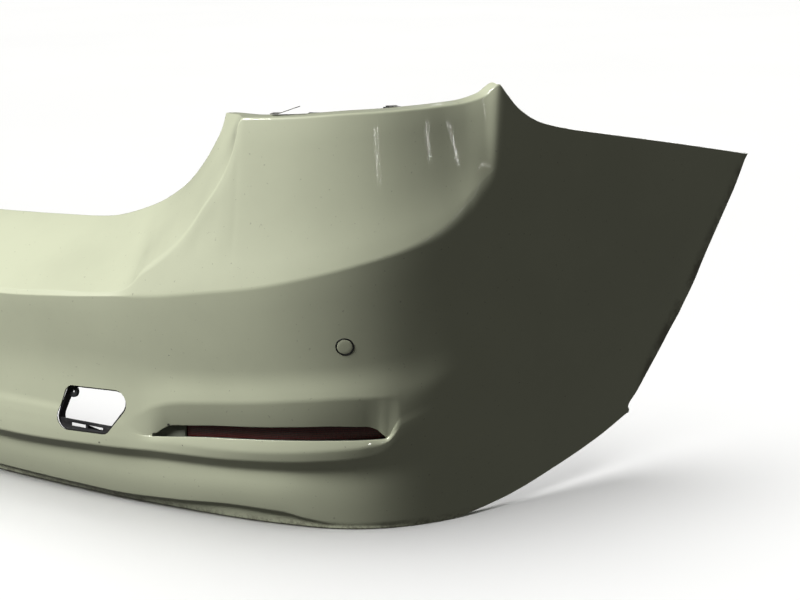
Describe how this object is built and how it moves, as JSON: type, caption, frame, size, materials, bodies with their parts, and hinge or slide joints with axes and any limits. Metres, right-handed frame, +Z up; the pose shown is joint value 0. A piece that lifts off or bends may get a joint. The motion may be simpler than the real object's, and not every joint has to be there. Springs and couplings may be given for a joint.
{
  "type": "rear bumper cover",
  "caption": "Painted rear bumper cover of a mid-size saloon, with parking sensors, side reflectors, a towing-eye opening and screw tabs.",
  "frame": {"origin": "middle of the foot of the cover, on the ground plane, halfway along its depth", "axes": "+X to the car's right, +Y to the front of the car, +Z up; the painted rear face looks to -Y"},
  "size_m": [1.8042, 0.71, 0.5276],
  "materials": {
    "paint_white": "glossy painted plastic, warm white with a clear coat, lightly scratched",
    "plastic_black": "moulded black plastic, fine grain, dusty",
    "rubber_black": "matt black rubber",
    "lens_red": "clear red plastic with prisms moulded in its back",
    "spring_steel": "phosphated spring steel, slightly rusty"
  },
  "bodies": {
    "root": {"bumper_cover": "paint_white", "lamp_strip_left": "spring_steel", "lamp_strip_right": "spring_steel", "reflector_housing_left": "plastic_black", "reflector_housing_right": "plastic_black", "reflector_lens_left": "lens_red", "reflector_lens_right": "lens_red", "sensor_body_inner_left": "plastic_black", "sensor_body_inner_right": "plastic_black", "sensor_body_outer_left": "plastic_black", "sensor_body_outer_right": "plastic_black", "sensor_bracket_inner_left": "plastic_black", "sensor_bracket_inner_right": "plastic_black", "sensor_bracket_outer_left": "plastic_black", "sensor_bracket_outer_right": "plastic_black", "sensor_face_inner_left": "paint_white", "sensor_face_inner_right": "paint_white", "sensor_face_outer_left": "paint_white", "sensor_face_outer_right": "paint_white", "sensor_ring_inner_left": "rubber_black", "sensor_ring_inner_right": "rubber_black", "sensor_ring_outer_left": "rubber_black", "sensor_ring_outer_right": "rubber_black", "spring_nut_arch_high_left": "spring_steel", "spring_nut_arch_high_right": "spring_steel", "spring_nut_arch_low_left": "spring_steel", "spring_nut_arch_low_right": "spring_steel", "spring_nut_lamp_outer_left": "spring_steel", "spring_nut_lamp_outer_right": "spring_steel", "spring_nut_lower_outer_left": "spring_steel", "spring_nut_lower_outer_right": "spring_steel", "tow_eye_clip": "spring_steel", "tow_eye_frame": "plastic_black"}
  },
  "joints": []
}
